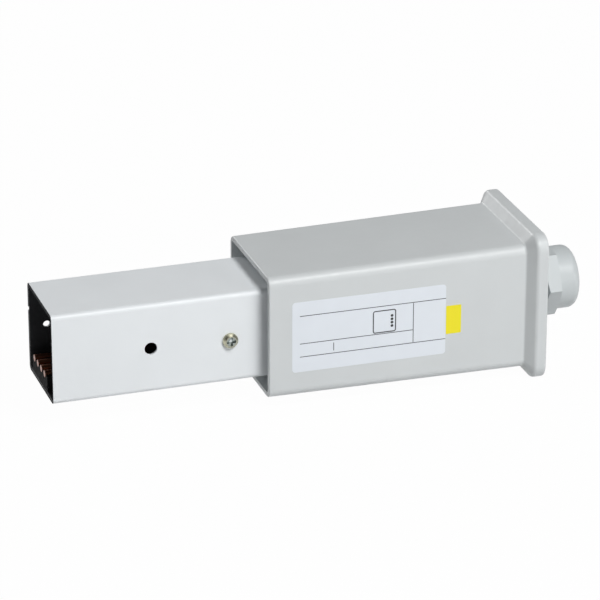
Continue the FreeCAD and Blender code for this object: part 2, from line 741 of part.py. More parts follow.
def tube_seal():
    """The foam ring that fills the gap round the tube between collar and plate."""
    body = new_body("tube_seal")
    outline = new_sketch(body, "outline", "YZ_Plane", "places.collar_right")
    draw_rounded_square(outline, "places.seal_outer", "places.seal_outer_edge")
    draw_rounded_square(outline, "places.flange_hole", "places.flange_hole_edge")
    pad(body, outline, "sizes.boss_length")
    return body


def corner_screws(name, seat, hand):
    screws = []
    for index, side in enumerate((1, -1), start=1):
        screw = pan_screw(f"{name}_{index}", "sizes.m3_dia", "sizes.m3_head_dia", "sizes.m3_head",
                          "sizes.m3_reach")
        place(screw, seat, f"{side} * places.boss_place", f"{side * hand} * places.boss_place", X_WARD)
        screws.append(screw)
    return group(name, screws)


def tube_screw():
    body = pan_screw("tube_screw", "sizes.m4_dia", "sizes.m4_head_dia", "sizes.m4_head",
                     "sizes.tube_screw_reach")
    place(body, "places.tube_screw_x", "-places.tube_half", "-sizes.tube_screw_drop", FRONT_WARD)
    return body


def tube_screw_nut():
    body = hexagon_nut("tube_screw_nut", "sizes.m4_nut_flats", "sizes.m4_nut", "places.m4_hole")
    place(body, "places.tube_screw_x", "-places.tube_inner", "-sizes.tube_screw_drop", BACK_WARD)
    return body


# Channel, terminals and earth

def terminal_bracket():
    """A folded channel that slides into the tube's inner end and carries the terminals."""
    body = new_body("terminal_bracket")
    section = new_sketch(body, "section", "YZ_Plane", "places.bracket_left")
    outer, inner = "places.bracket_outer", "places.bracket_inner"
    outer_left, inner_left = f"-{outer}", f"-{inner}"
    floor, inner_floor = f"-{outer}", f"-{inner}"
    rise = "sizes.bracket_rise"
    draw_polygon(section, [
        (outer_left, floor), (outer, floor), (outer, rise), (inner, rise),
        (inner, inner_floor), (inner_left, inner_floor), (inner_left, rise), (outer_left, rise),
    ])
    pad(body, section, "places.bracket_right - places.bracket_left")
    round_edges(body, "sizes.bracket_sheet", lambda edge: runs_along(edge, "x")
                and same(abs(edge.CenterOfMass.y), "places.bracket_outer")
                and same(edge.CenterOfMass.z, "-places.bracket_outer"))
    bevel_edges(body, "sizes.bracket_bevel", lambda edge: runs_along(edge, "y")
                and same(edge.CenterOfMass.z, "sizes.bracket_rise"))
    holes = new_sketch(body, "side_holes", "XZ_Plane", "-places.bracket_outer * 2")
    draw_circle(holes, "places.bracket_screw_x", "places.bracket_screw_z", "places.m4_hole")
    draw_circle(holes, "places.terminal_x", "places.terminal_z", "places.m3_hole")
    pocket(body, holes, "places.bracket_outer * 4")
    earth_hole = new_sketch(body, "earth_hole", "XY_Plane", "-places.bracket_outer * 2")
    draw_circle(earth_hole, "places.terminal_x - sizes.earth_foot_length / 2", "places.first_terminal",
                "places.m4_hole")
    pocket(body, earth_hole, "places.bracket_outer * 2")
    return body


def side_screws(name, shank, head_dia, head, reach, seat, across, up):
    """One screw from each side, heads outwards."""
    screws = []
    for index, (side, turn) in enumerate(((-1, FRONT_WARD), (1, BACK_WARD)), start=1):
        screw = pan_screw(f"{name}_{index}", shank, head_dia, head, reach)
        place(screw, across, f"{side} * {seat}", up, turn)
        screws.append(screw)
    return group(name, screws)


def terminal_housing():
    """The terminal block: a row of wells open upwards, each with a screw hole in its front wall."""
    body = new_body("terminal_housing")
    plan = new_sketch(body, "plan", "XY_Plane", "places.housing_bottom")
    draw_rectangle(plan, "places.housing_left", "-places.housing_half",
                   "places.housing_right", "places.housing_half")
    pad(body, plan, "places.housing_top - places.housing_bottom")
    well = new_sketch(body, "well", "XY_Plane", "places.well_floor")
    draw_rectangle(
        well, "places.well_left", "places.first_terminal - places.well_half",
        "places.well_right", "places.first_terminal + places.well_half")
    wells = pocket(body, well, "places.housing_top - places.well_floor + sizes.housing_wall")
    repeat_along(body, wells, "Y_Axis", TERMINALS, "places.bar_pitch")
    floor = new_sketch(body, "bar_hole", "XY_Plane", "places.housing_bottom - sizes.housing_wall")
    draw_circle(floor, "places.terminal_x", "places.first_terminal", "places.bar_hole + sizes.fit_gap")
    bar_holes = pocket(body, floor, "sizes.housing_floor + sizes.housing_wall * 2")
    repeat_along(body, bar_holes, "Y_Axis", TERMINALS, "places.bar_pitch")
    shank = new_sketch(body, "shank_hole", "YZ_Plane", "places.well_right - sizes.housing_wall")
    draw_circle(shank, "places.first_terminal", "places.terminal_z", "places.m3_hole")
    shank_holes = pocket(body, shank, "sizes.housing_ledge + sizes.housing_wall * 2")
    repeat_along(body, shank_holes, "Y_Axis", TERMINALS, "places.bar_pitch")
    head = new_sketch(body, "head_hole", "YZ_Plane", "places.head_seat")
    draw_circle(head, "places.first_terminal", "places.terminal_z",
                "sizes.terminal_screw_head_dia / 2 + sizes.slide_gap")
    head_holes = pocket(body, head, "sizes.terminal_screw_head + sizes.housing_nose * 2")
    repeat_along(body, head_holes, "Y_Axis", TERMINALS, "places.bar_pitch")
    for side, start in (("front", "places.ear_floor"), ("back", "-places.bracket_outer")):
        ear = new_sketch(body, f"{side}_ear_hole", "XZ_Plane", start)
        draw_circle(ear, "places.terminal_x", "places.terminal_z", "places.m3_hole")
        pocket(body, ear, "places.bracket_outer - places.ear_floor")
    return body


def terminal_screw(index):
    seat = "places.head_seat + sizes.running_gap"
    body = slotted_screw(f"terminal_screw_{index + 1}", "sizes.m3_dia", "sizes.terminal_screw_head_dia",
                         "sizes.terminal_screw_head", f"{seat} - places.clamp_window_right")
    place(body, seat, f"places.first_terminal + {index} * places.bar_pitch", "places.terminal_z", X_WARD)
    return body


def terminal_clamp(index):
    """A cage round the conductor and the wire, with a threaded front wall."""
    body = new_body(f"terminal_clamp_{index + 1}")
    plan = new_sketch(body, "plan", "XY_Plane", "sizes.clamp_bottom")
    draw_rectangle(plan, "places.clamp_left", "-places.clamp_outer",
                   "places.clamp_right", "places.clamp_outer")
    draw_rectangle(plan, "places.clamp_window_left", "-places.clamp_inner",
                   "places.clamp_window_right", "places.clamp_inner")
    pad(body, plan, "sizes.clamp_height")
    hole = new_sketch(body, "thread", "YZ_Plane", "places.clamp_window_right - sizes.clamp_wall")
    draw_circle(hole, "0", "places.terminal_z", "sizes.m3_dia / 2 + sizes.running_gap")
    pocket_through(body, hole, "sizes.clamp_wall")
    place(body, along=f"places.first_terminal + {index} * places.bar_pitch")
    return body


def earth_bar():
    """A post on a flat foot, from the channel's floor up into the first terminal."""
    body = new_body("earth_bar")
    foot = new_sketch(body, "foot", "XY_Plane", "-places.bracket_inner")
    draw_rectangle(foot, "places.terminal_x - sizes.earth_foot_length", "-sizes.earth_foot_width / 2",
                   "places.terminal_x + sizes.earth_foot_width / 2", "sizes.earth_foot_width / 2")
    draw_circle(foot, "places.terminal_x - sizes.earth_foot_length / 2", "0", "places.m4_hole")
    pad(body, foot, "sizes.earth_foot_thick")
    riser = new_sketch(body, "riser", "XY_Plane", "-places.bracket_inner")
    draw_circle(riser, "places.terminal_x", "0", "places.bar_radius")
    pad(body, riser, "places.housing_top + places.bracket_inner")
    place(body, along="places.first_terminal")
    return body


def earth_screw():
    body = pan_screw("earth_screw", "sizes.m4_dia", "sizes.m4_head_dia", "sizes.m4_head",
                     "sizes.earth_foot_thick + sizes.bracket_sheet + sizes.m4_nut")
    place(body, "places.terminal_x - sizes.earth_foot_length / 2", "places.first_terminal",
          "sizes.earth_foot_thick - places.bracket_inner")
    return body


def earth_nut():
    body = hexagon_nut("earth_nut", "sizes.m4_nut_flats", "sizes.m4_nut", "places.m4_hole")
    place(body, "places.terminal_x - sizes.earth_foot_length / 2", "places.first_terminal",
          "-places.bracket_outer - sizes.m4_nut")
    return body


# Lid of the wiring space

def end_plate():
    """The lid in the rim, with a spigot into the mouth and a hole for the gland."""
    body = new_body("end_plate")
    outline = new_sketch(body, "outline", "YZ_Plane", "places.plate_left")
    draw_rounded_square(outline, "places.plate_half", "places.plate_edge")
    pad(body, outline, "sizes.plate_thick")
    spigot = new_sketch(body, "spigot", "YZ_Plane", "places.spigot_left")
    draw_rounded_square(spigot, "places.spigot_half", "places.inner_edge")
    draw_rounded_square(spigot, "places.spigot_half - sizes.spigot_wall", "places.inner_edge / 2")
    pad(body, spigot, "sizes.spigot_depth")
    relief = new_sketch(body, "boss_relief", "YZ_Plane", "places.spigot_left")
    low = "places.boss_low - sizes.spigot_gap"
    high = "places.spigot_half + sizes.spigot_wall"
    for side in (1, -1):
        draw_polygon(relief, [
            (f"{side} * ({across})", f"{-side} * ({up})")
            for across, up in ((low, low), (high, low), (high, high), (low, high))])
    pocket(body, relief, "sizes.spigot_depth")
    panel = new_sketch(body, "panel", "YZ_Plane", "places.plate_right - sizes.plate_panel_depth")
    draw_rounded_square(panel, "places.panel_half", "places.plate_edge")
    pocket(body, panel, "sizes.plate_panel_depth * 2")
    pads = new_sketch(body, "gland_seat", "YZ_Plane", "places.plate_right - sizes.plate_panel_depth")
    draw_circle(pads, "0", "0", "sizes.gland_flats / sqrt(3) + sizes.plate_panel_depth")
    for side in (1, -1):
        draw_circle(pads, f"{side} * places.boss_place", f"{-side} * places.boss_place",
                    "sizes.m3_head_dia / 2 + sizes.plate_pad_margin")
    pad(body, pads, "sizes.plate_panel_depth")
    holes = new_sketch(body, "holes", "YZ_Plane", "places.plate_left - sizes.plate_thick")
    draw_circle(holes, "0", "0", "places.gland_hole")
    for side in (1, -1):
        draw_circle(holes, f"{side} * places.boss_place", f"{-side} * places.boss_place", "places.m3_hole")
    pocket_through(body, holes, "sizes.plate_thick")
    return body


def end_plate_gasket():
    body = new_body("end_plate_gasket")
    outline = new_sketch(body, "outline", "YZ_Plane", "places.seat")
    draw_rounded_square(outline, "places.gasket_outer", "places.gasket_outer_edge")
    draw_rounded_square(outline, "places.gasket_inner", "places.inner_edge")
    pad(body, outline, "sizes.gasket_thick")
    return body


# Cable gland

def turn_off_corners(body, left, right):
    """Bevel the corners of one of the gland's hexagons at both its ends, as a turned nut has them."""
    profile = new_sketch(body, "corners", "XZ_Plane")
    flat = "sizes.gland_flats / 2"
    clear = f"2 * sizes.gland_flats / sqrt(3) - {flat}"
    for end, inward in ((left, "+"), (right, "-")):
        draw_polygon(profile, [
            (end, flat), (f"{end} {inward} 2 * sizes.gland_hex_bevel", clear), (end, clear)])
    groove(body, profile)


def gland_body():
    body = new_body("gland_body")
    profile = new_sketch(body, "profile", "XZ_Plane")
    draw_polygon(profile, [
        ("places.gland_left", "places.gland_bore"), ("places.gland_left", "places.gland_thread"),
        ("places.hex_left", "places.gland_thread"), ("places.hex_left", "places.gland_cap_thread"),
        ("places.cap_thread_right", "places.gland_cap_thread"),
        ("places.cap_thread_right", "places.gland_bore + sizes.gland_bore_chamfer"),
        ("places.cap_thread_right - sizes.gland_bore_chamfer", "places.gland_bore"),
    ])
    revolve(body, profile)
    hexagon = new_sketch(body, "hexagon", "YZ_Plane", "places.hex_left")
    draw_hexagon(hexagon, "sizes.gland_flats")
    draw_circle(hexagon, "0", "0", "places.gland_bore")
    pad(body, hexagon, "sizes.gland_hex_length")
    turn_off_corners(body, "places.hex_left", "places.hex_right")
    return body


def gland_washer():
    body = new_body("gland_washer")
    outline = new_sketch(body, "outline", "YZ_Plane", "places.plate_right")
    draw_circle(outline, "0", "0", "sizes.gland_flats / 2")
    draw_circle(outline, "0", "0", "places.gland_hole")
    pad(body, outline, "sizes.gland_washer_thick")
    return body


def gland_locknut():
    body = hexagon_nut("gland_locknut", "sizes.locknut_flats", "sizes.locknut_thick", "places.gland_hole")
    place(body, "places.locknut_left", rotation=X_WARD)
    return body


def gland_insert():
    """The rubber sleeve that the cap presses on to the cable."""
    body = new_body("gland_insert")
    profile = new_sketch(body, "profile", "XZ_Plane")
    draw_polygon(profile, [
        ("places.insert_left", "sizes.insert_bore_dia / 2"), ("places.insert_left", "places.insert_outer"),
        ("places.insert_head_left", "places.insert_outer"),
        ("places.insert_head_left", "sizes.insert_head_dia / 2"),
        ("places.insert_head_right", "sizes.insert_head_dia / 2"),
        ("places.insert_head_right", "sizes.insert_bore_dia / 2"),
    ])
    revolve(body, profile)
    return body


def gland_nut():
    """The gland's cap: a hexagon that runs into a round, rounded end."""
    body = new_body("gland_nut")
    hexagon = new_sketch(body, "hexagon", "YZ_Plane", "places.cap_left")
    draw_hexagon(hexagon, "sizes.gland_flats")
    pad(body, hexagon, "sizes.cap_hex_length")
    turn_off_corners(body, "places.cap_left", "places.cap_hex_right")
    round_end = new_sketch(body, "round_end", "YZ_Plane", "places.cap_hex_right")
    draw_circle(round_end, "0", "0", "places.cap_round")
    pad(body, round_end, "sizes.cap_round_length")
    round_edges(body, "sizes.cap_end_round", lambda edge: lies_at(edge, "X", "places.cap_right"))
    bore = new_sketch(body, "bore", "XZ_Plane")
    before_cap = "places.cap_left - sizes.cap_opening"
    past_cap = "places.cap_right + sizes.cap_opening"
    mouth = "sizes.cap_mouth_dia / 2"
    draw_polygon(bore, [
        (before_cap, "0"), (before_cap, "places.cap_bore"), ("places.cap_shoulder", "places.cap_bore"),
        ("places.cap_shoulder", mouth), (past_cap, mouth), (past_cap, "0"),
    ])
    groove(body, bore)
    return body


def build():
    parts = [trunking_tube(), tube_liner(), conductor_carrier()]
    parts += [busbar(index) for index in range(CONDUCTORS)]
    parts += [busbar_support(), tube_flange(), tube_seal(), tube_screw(), tube_screw_nut()]
    parts += [cover(), corner_screws("cover_screws", "places.flange_right", 1)]
    parts += [terminal_bracket(), terminal_housing()]
    parts += [
        side_screws("bracket_screws", "sizes.m4_dia", "sizes.m4_head_dia", "sizes.m4_head",
                    "sizes.tube_screw_reach", "places.tube_half", "places.bracket_screw_x",
                    "places.bracket_screw_z"),
        side_screws("housing_screws", "sizes.m3_dia", "sizes.m3_head_dia", "sizes.m3_head",
                    "places.housing_screw_reach", "places.bracket_outer", "places.terminal_x",
                    "places.terminal_z"),
    ]
    parts += [terminal_screw(index) for index in range(TERMINALS)]
    parts += [terminal_clamp(index) for index in range(TERMINALS)]
    parts += [earth_bar(), earth_screw(), earth_nut()]
    parts += [end_plate(), end_plate_gasket(), corner_screws("end_plate_screws", "places.plate_right", -1)]
    parts += [gland_body(), gland_washer(), gland_locknut(), gland_insert(), gland_nut()]
    return parts


def write(parts):
    """Refuse a failed object or shape, then write one file for each sub-part."""
    doc.recompute()
    for item in doc.Objects:
        if "Invalid" in item.State or "Error" in item.State:
            raise ValueError(f"{item.Name} failed: {item.State}")
    for part in parts:
        if part.Shape.isNull() or not part.Shape.isValid():
            raise ValueError(f"{part.Label} has no valid shape")
    os.makedirs("parts", exist_ok=True)
    for part in parts:
        part.Shape.exportStep(os.path.join("parts", f"{part.Label}.step"))
        print(part.Label, len(part.Shape.Solids), round(part.Shape.Volume, 1))


write(build())
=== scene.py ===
import json
import math

import bmesh
import bpy
from mathutils import Euler, Matrix, Vector


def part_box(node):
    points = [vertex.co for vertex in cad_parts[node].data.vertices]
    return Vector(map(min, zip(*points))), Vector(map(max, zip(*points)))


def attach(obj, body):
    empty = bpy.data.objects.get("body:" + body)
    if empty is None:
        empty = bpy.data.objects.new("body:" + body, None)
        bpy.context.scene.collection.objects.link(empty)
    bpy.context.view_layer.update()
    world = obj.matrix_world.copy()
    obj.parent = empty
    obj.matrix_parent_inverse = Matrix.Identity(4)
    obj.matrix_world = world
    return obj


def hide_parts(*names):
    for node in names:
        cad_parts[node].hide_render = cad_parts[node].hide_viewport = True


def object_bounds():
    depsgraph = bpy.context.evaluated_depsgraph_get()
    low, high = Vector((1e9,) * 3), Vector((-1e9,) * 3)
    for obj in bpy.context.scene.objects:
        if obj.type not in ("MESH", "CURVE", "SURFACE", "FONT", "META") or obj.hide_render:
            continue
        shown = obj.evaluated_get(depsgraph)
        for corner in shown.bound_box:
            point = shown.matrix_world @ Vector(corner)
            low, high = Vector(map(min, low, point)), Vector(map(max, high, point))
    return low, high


# Busway end feed unit: finishes, label, sticker, gland threads, studio and camera. Lengths are in metres.

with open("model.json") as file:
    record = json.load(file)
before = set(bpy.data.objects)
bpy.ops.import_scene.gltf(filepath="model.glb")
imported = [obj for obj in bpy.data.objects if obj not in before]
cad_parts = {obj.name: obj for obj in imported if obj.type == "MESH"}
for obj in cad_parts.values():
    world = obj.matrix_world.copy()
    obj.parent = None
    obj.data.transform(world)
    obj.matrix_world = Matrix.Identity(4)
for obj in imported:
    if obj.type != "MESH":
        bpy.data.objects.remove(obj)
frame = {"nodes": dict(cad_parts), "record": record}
NODES = frame["nodes"]
CAD_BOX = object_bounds()
MM = 0.001
MICRON = MM / 1000


# Building materials from nodes

# Most of a noise lies between these two values
NOISE_LOW, NOISE_HIGH = 0.3, 0.7


class Finish:
    """A node material in the making: its shader, and short calls for the nodes that feed it."""

    def __init__(self, name, **fixed):
        self.material = bpy.data.materials.new(name)
        self.material.use_nodes = True
        self.tree = self.material.node_tree
        self.shader = self.tree.nodes["Principled BSDF"]
        self.place = self.add("TexCoord").outputs["Object"]
        for socket, value in fixed.items():
            self.shader.inputs[socket.replace("_", " ")].default_value = value

    def add(self, kind, inputs=None, **settings):
        """A new node, with its settings and with values or links in its inputs."""
        node = self.tree.nodes.new(f"ShaderNode{kind}")
        for setting, value in settings.items():
            setattr(node, setting, value)
        for socket, value in (inputs or {}).items():
            if isinstance(value, bpy.types.NodeSocket):
                self.tree.links.new(value, node.inputs[socket])
            else:
                node.inputs[socket].default_value = value
        return node

    def feed(self, socket, source):
        """Link a node's output to an input of the shader."""
        self.tree.links.new(source, self.shader.inputs[socket])

    def stretched(self, x=1.0, y=1.0, z=1.0):
        """Coordinates scaled along each axis, so that a pattern runs along the axis with a small factor."""
        return self.add("Mapping", {"Vector": self.place, "Scale": (x, y, z)}).outputs["Vector"]

    def noise(self, size, detail=2.0, place=None):
        """Soft noise, from 0 to 1, with patches of about the given size."""
        inputs = {"Vector": place or self.place, "Scale": 1 / size, "Detail": detail}
        return self.add("TexNoise", inputs).outputs["Fac"]

    def cells(self, size):
        """One random value for each cell of about the given size."""
        inputs = {"Vector": self.place, "Scale": 1 / size}
        return self.add("TexVoronoi", inputs, feature="F1").outputs["Color"]

    def span(self, source, low, high):
        """Stretch the middle of a noise to a range of values."""
        inputs = {"Value": source, "From Min": NOISE_LOW, "From Max": NOISE_HIGH,
                  "To Min": low, "To Max": high}
        return self.add("MapRange", inputs).outputs["Result"]

    def ramp(self, source, stops):
        """Colours at places along a value, blended in between."""
        node = self.add("ValToRGB", {"Fac": source})
        points = node.color_ramp.elements
        while len(points) < len(stops):
            points.new(1.0)
        for point, (where, colour) in zip(points, stops):
            point.position = where
            point.color = (*colour, 1.0)
        return node.outputs["Color"]

    def mottled(self, colour, source, amount):
        """A colour that is a little darker and lighter by a noise."""
        dark = [part * (1 - amount) for part in colour]
        light = [min(part * (1 + amount), 1.0) for part in colour]
        return self.ramp(source, [(NOISE_LOW, dark), (NOISE_HIGH, light)])

    def mottle(self, colour, source, amount):
        """Give the shader a mottled colour."""
        self.feed("Base Color", self.mottled(colour, source, amount))

    def choose(self, share, first, second):
        """The first colour where the share is 0, the second where it is 1."""
        blend = self.add("Mix", {"Factor": share}, data_type="RGBA")
        self.tree.links.new(first, blend.inputs["A"])
        self.tree.links.new(second, blend.inputs["B"])
        return blend.outputs["Result"]

    def along_run(self):
        """How far along the unit's run a point lies."""
        return self.add("SeparateXYZ", {"Vector": self.place}).outputs["X"]

    def distance(self, centre, factors):
        """How far a point lies from a centre, with each axis scaled first."""
        offset = self.add("VectorMath", {0: self.place, 1: centre}, operation="SUBTRACT").outputs["Vector"]
        scaled = self.add("VectorMath", {0: offset, 1: factors}, operation="MULTIPLY").outputs["Vector"]
        return self.add("VectorMath", {0: scaled}, operation="LENGTH").outputs["Value"]

    def calculate(self, operation, first, second):
        """The result of an operation on two values."""
        return self.add("Math", {0: first, 1: second}, operation=operation).outputs["Value"]

    def bump(self, *layers):
        """Relief from pairs of a noise and its height, one over the other."""
        normal = None
        for source, height in layers:
            inputs = {"Height": source, "Distance": height, "Strength": 1.0}
            if normal:
                inputs["Normal"] = normal
            normal = self.add("Bump", inputs).outputs["Normal"]
        self.feed("Normal", normal)


# Colours, as linear shares of red, green and blue

COAT_WHITE = (0.775, 0.805, 0.825)
# The bare cut end of the sheet, painted near-black as shade
CUT_END_PAINTED_SHADE = (0.012, 0.012, 0.014)
# One black plastic in two copies: the liner's is lightened as painted light inside the tube, and the
# carrier's is darker as painted shade
LINER_BLACK_PAINTED_LIGHT = (0.052, 0.053, 0.057)
CARRIER_BLACK_PAINTED_SHADE = (0.013, 0.013, 0.014)
RUBBER_BLACK = (0.022, 0.022, 0.023)
COVER_GREY = (0.600, 0.625, 0.632)
GLAND_GREY = (0.525, 0.558, 0.567)
TERMINAL_GREY = (0.30, 0.31, 0.32)
LABEL_WHITE = (0.73, 0.77, 0.82)
STICKER_YELLOW = (0.845, 0.74, 0.009)
INK_BLACK = (0.030, 0.032, 0.036)

# Runs of colours, each with its place along the value that spreads them
COPPER_SIDES = [(0.25, (0.30, 0.11, 0.065)), (0.55, (0.48, 0.20, 0.12)), (0.8, (0.60, 0.28, 0.18))]
COPPER_ENDS = [(0.3, (0.27, 0.14, 0.11)), (0.7, (0.38, 0.21, 0.17))]
ZINC_TARNISH = [(0.25, (0.56, 0.58, 0.60)), (0.5, (0.66, 0.68, 0.70)), (0.75, (0.70, 0.72, 0.74))]
BRASS_TARNISH = [(0.3, (0.62, 0.45, 0.20)), (0.7, (0.80, 0.64, 0.33))]
# Rings out from the screw's middle: a white painted glint, greys that are painted dark reflection, and the
# olive yellow zinc towards the rim
SCREW_PAINTED_GLINT_AND_ZINC = [
    (0.10, (0.90, 0.92, 0.92)), (0.22, (0.34, 0.38, 0.37)), (0.55, (0.31, 0.34, 0.32)),
    (0.72, (0.42, 0.41, 0.31)), (0.95, (0.54, 0.53, 0.40))]


# Finishes for the record's material slots, the label's ink and the conductor carrier

# Faces that lie this near to the mouth's plane are cut or sawn ends
CUT_END = 0.05 * MM


def white_paint():
    """Powder coat on steel: nearly smooth, with a faint orange peel, and a black cut end at the mouth that
    is painted shade over the bare cut edge.
    """
    finish = Finish("white_paint")
    coat = finish.mottled(COAT_WHITE, finish.noise(28 * MM), amount=0.012)
    # The cut end is painted near-black: painted shade on the bare edge of the sheet
    cut = finish.mottled(CUT_END_PAINTED_SHADE, finish.noise(2 * MM), amount=0.3)
    is_cut = finish.calculate("LESS_THAN", finish.along_run(), CUT_END)
    finish.feed("Base Color", finish.choose(is_cut, coat, cut))
    smooth = finish.span(finish.noise(6 * MM), low=0.40, high=0.50)
    finish.feed("Roughness", finish.calculate("MAXIMUM", smooth, is_cut))
    finish.bump((finish.noise(1.6 * MM), 5 * MICRON), (finish.noise(0.35 * MM), 1.5 * MICRON))
    return finish.material


def moulded_grey(name, colour, rough, grain, depth):
    """A grey moulding with a spark-eroded grain and slight sinking."""
    finish = Finish(name)
    finish.mottle(colour, finish.noise(22 * MM, detail=3.0), amount=0.014)
    finish.feed("Roughness", finish.span(finish.noise(3 * MM), low=rough - 0.05, high=rough + 0.05))
    finish.bump((finish.noise(14 * MM), 18 * MICRON), (finish.noise(grain, detail=1.0), depth))
    return finish.material


def black_plastic(name, colour):
    """Dull black moulding with a grain along the run."""
    finish = Finish(name, Specular_IOR_Level=0.01)
    along = finish.stretched(x=0.08)
    finish.mottle(colour, finish.noise(9 * MM), amount=0.25)
    finish.feed("Roughness", finish.span(finish.noise(1.5 * MM, place=along), low=0.42, high=0.6))
    finish.bump((finish.noise(0.9 * MM, place=along), 5 * MICRON))
    return finish.material


def copper():
    """Drawn copper, browned along its length, with paler sawn ends."""
    finish = Finish("copper", Metallic=1.0)
    drawn = finish.noise(1.4 * MM, detail=4.0, place=finish.stretched(x=0.06))
    sawn = finish.noise(0.5 * MM, detail=3.0, place=finish.stretched(y=0.2))
    sides = finish.ramp(drawn, COPPER_SIDES)
    ends = finish.ramp(sawn, COPPER_ENDS)
    is_end = finish.calculate("LESS_THAN", finish.along_run(), CUT_END)
    finish.feed("Base Color", finish.choose(is_end, sides, ends))
    finish.feed("Roughness", finish.span(drawn, low=0.28, high=0.48))
    finish.bump((drawn, 6 * MICRON), (sawn, 4 * MICRON))
    return finish.material


def seal_rubber():
    """Dull black rubber with a fine skin."""
    finish = Finish("seal_rubber", Specular_IOR_Level=0.35)
    finish.mottle(RUBBER_BLACK, finish.noise(5 * MM), amount=0.3)
    finish.feed("Roughness", finish.span(finish.noise(1.2 * MM), low=0.62, high=0.8))
    finish.bump((finish.noise(0.5 * MM, detail=3.0), 14 * MICRON))
    return finish.material


def bright_zinc():
    """Bright zinc plate: a fine tarnish, and cells of slightly different gloss."""
    finish = Finish("bright_zinc", Metallic=1.0)
    finish.feed("Base Color", finish.ramp(finish.noise(2.2 * MM, detail=4.0), ZINC_TARNISH))
    finish.feed("Roughness", finish.span(finish.cells(0.9 * MM), low=0.33, high=0.47))
    finish.bump((finish.noise(0.3 * MM, detail=3.0), 3 * MICRON))
    return finish.material


def yellow_zinc():
    """Yellow zinc plate on the tube's screw, with a painted glint in the middle and grey painted dark
    reflection round the driver's recess.
    """
    finish = Finish("yellow_zinc", Metallic=1.0)
    low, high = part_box("tube_screw")
    radius = (high.x - low.x) / 2
    reach = finish.distance((low + high) / 2, (1 / radius, 0, 1 / radius))
    # The ramp paints a glint and a dark reflection on the head, by distance from its middle
    finish.feed("Base Color", finish.ramp(reach, SCREW_PAINTED_GLINT_AND_ZINC))
    finish.feed("Roughness", finish.span(finish.cells(0.7 * MM), low=0.30, high=0.44))
    finish.bump((finish.noise(0.9 * MM, detail=3.0), 12 * MICRON))
    return finish.material


def terminal_brass():
    """Drawn brass with a light tarnish."""
    finish = Finish("terminal_brass", Metallic=1.0)
    finish.feed("Base Color", finish.ramp(finish.noise(2.5 * MM, detail=4.0), BRASS_TARNISH))
    finish.feed("Roughness", finish.span(finish.noise(0.8 * MM), low=0.26, high=0.42))
    finish.bump((finish.noise(0.4 * MM, detail=3.0, place=finish.stretched(z=0.15)), 4 * MICRON))
    return finish.material


def film(name, colour):
    """Printed adhesive film with a soft gloss."""
    finish = Finish(name)
    finish.mottle(colour, finish.noise(9 * MM, detail=3.0), amount=0.008)
    finish.feed("Roughness", finish.span(finish.noise(2 * MM), low=0.34, high=0.44))
    finish.bump((finish.noise(7 * MM), 5 * MICRON), (finish.noise(0.5 * MM), 1 * MICRON))
    return finish.material


FINISHES = {
    "white_paint": white_paint(),
    "black_plastic": black_plastic("black_plastic", LINER_BLACK_PAINTED_LIGHT),
    "carrier_black_painted_shade": black_plastic("carrier_black_painted_shade", CARRIER_BLACK_PAINTED_SHADE),
    "copper": copper(),
    "cover_grey": moulded_grey("cover_grey", COVER_GREY, rough=0.44, grain=0.5 * MM, depth=6 * MICRON),
    "gland_grey": moulded_grey("gland_grey", GLAND_GREY, rough=0.38, grain=0.3 * MM, depth=2 * MICRON),
    "terminal_grey": moulded_grey("terminal_grey", TERMINAL_GREY, rough=0.46, grain=0.4 * MM,
                                  depth=5 * MICRON),
    "seal_rubber": seal_rubber(),
    "yellow_zinc": yellow_zinc(),
    "bright_zinc": bright_zinc(),
    "terminal_brass": terminal_brass(),
    "label_film": film("label_film", LABEL_WHITE),
    "yellow_film": film("yellow_film", STICKER_YELLOW),
    "label_ink": film("label_ink", INK_BLACK),
}

# Nodes whose finish differs from that of their material slot: the carrier takes a darker copy of the
# liner's black plastic as painted shade
OWN_FINISH = {"conductor_carrier": "carrier_black_painted_shade"}

for part in frame["record"]["subparts"]:
    finish_name = OWN_FINISH.get(part["node"], part["material_slot"])
    for slot in NODES[part["node"]].material_slots:
        slot.material = FINISHES[finish_name]


# Making meshes

def meet(node, start, way):
    """Where a line from a point first meets a node's surface."""
    return NODES[node].ray_cast(Vector(start), Vector(way))[1]


def join_rings(mesh, ring, after):
    """Faces between two closed rings of as many points."""
    count = len(ring)
    for index in range(count):
        other = (index + 1) % count
        mesh.faces.new((ring[index], ring[other], after[other], after[index]))


def mesh_object(name, mesh):
    """An object in the scene with a mesh in the making."""
    data = bpy.data.meshes.new(name)
    mesh.to_mesh(data)
    mesh.free()
    holder = bpy.data.objects.new(name, data)
    bpy.context.collection.objects.link(holder)
    return holder


# Label and sticker on the cover's front

LABEL_LEFT, LABEL_RIGHT = 117.1 * MM, 195.8 * MM
LABEL_BOTTOM, LABEL_TOP = -18.7 * MM, 18.0 * MM
LABEL_CORNER = 1.6 * MM
STICKER_LEFT, STICKER_RIGHT = 196.0 * MM, 203.8 * MM
STICKER_BOTTOM, STICKER_TOP = -8.5 * MM, 6.4 * MM
STICKER_CORNER = 0.5 * MM
FILM = 0.10 * MM
INK = 0.02 * MM
CORNER_STEPS = 6

RULE = 0.36 * MM
RULE_LEFT = 121.0 * MM
RULE_UPPER, RULE_MIDDLE, RULE_LOWER = 10.6 * MM, -3.9 * MM, -10.8 * MM
DIVIDER = 179.0 * MM
SHORT_RULE = 138.2 * MM
SHORT_RULE_GAP = 1.0 * MM

